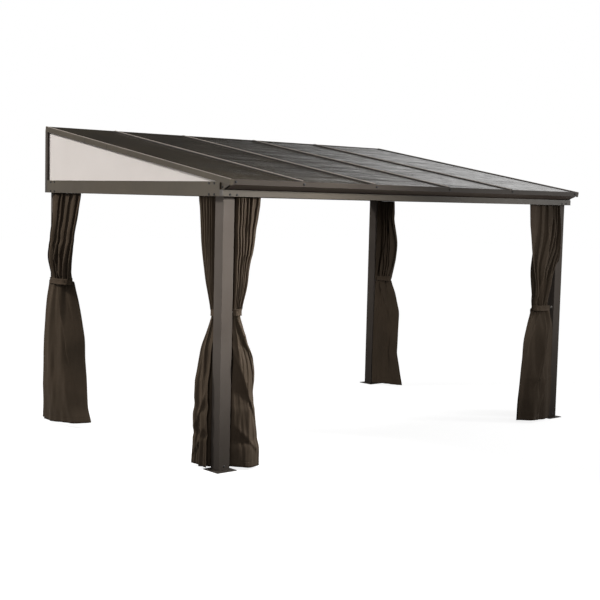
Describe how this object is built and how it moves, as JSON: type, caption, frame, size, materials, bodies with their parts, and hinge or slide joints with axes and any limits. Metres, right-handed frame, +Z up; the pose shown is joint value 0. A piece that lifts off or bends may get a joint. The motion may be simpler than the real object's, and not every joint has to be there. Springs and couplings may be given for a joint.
{
  "type": "metal gazebo",
  "caption": "Freestanding metal gazebo with a single-slope glazed roof on square posts, pale gable panels and tied-back curtains, for shade over a patio.",
  "frame": {"origin": "on the ground under the middle of the outline", "axes": "+X along the low front eave to the right, +Y from the front to the high back, +Z up"},
  "size_m": [4.233, 2.7406, 2.6371],
  "materials": {
    "frame_metal": "satin bronze-grey powder coat",
    "plate_metal": "satin powder coat over steel",
    "cap_plastic": "moulded cap",
    "roof_sheet": "bronze twin-wall sheet, glossy",
    "opal_sheet": "pale opal sheet",
    "curtain_fabric": "dark brown woven polyester",
    "tie_fabric": "the curtains' own cloth, doubled and stitched"
  },
  "bodies": {
    "root": {"back_beam": "frame_metal", "back_mullions": "frame_metal", "back_panels": "opal_sheet", "base_plates": "plate_metal", "curtain_front_left": "curtain_fabric", "curtain_front_right": "curtain_fabric", "curtain_left_back": "curtain_fabric", "curtain_left_front": "curtain_fabric", "curtain_rail_front": "frame_metal", "curtain_rail_left": "frame_metal", "curtain_rail_right": "frame_metal", "curtain_right_back": "curtain_fabric", "curtain_right_front": "curtain_fabric", "curtain_ties": "tie_fabric", "eave_trim": "frame_metal", "front_beam": "frame_metal", "front_beam_caps": "cap_plastic", "front_soffit": "frame_metal", "gable_panel_left": "opal_sheet", "gable_panel_right": "opal_sheet", "gable_upright_left": "frame_metal", "gable_upright_right": "frame_metal", "glazing_caps": "frame_metal", "post_back_left": "frame_metal", "post_back_right": "frame_metal", "post_front_left": "frame_metal", "post_front_right": "frame_metal", "purlin_lower": "frame_metal", "purlin_upper": "frame_metal", "rafter_1": "frame_metal", "rafter_2": "frame_metal", "rafter_3": "frame_metal", "rafter_4": "frame_metal", "rafter_left_end": "frame_metal", "rafter_right_end": "frame_metal", "rake_trim_left": "frame_metal", "rake_trim_right": "frame_metal", "ridge_beam": "frame_metal", "ridge_trim": "frame_metal", "roof_panel_1": "roof_sheet", "roof_panel_2": "roof_sheet", "roof_panel_3": "roof_sheet", "roof_panel_4": "roof_sheet", "roof_panel_5": "roof_sheet", "side_beam_left": "frame_metal", "side_beam_right": "frame_metal"}
  },
  "joints": []
}
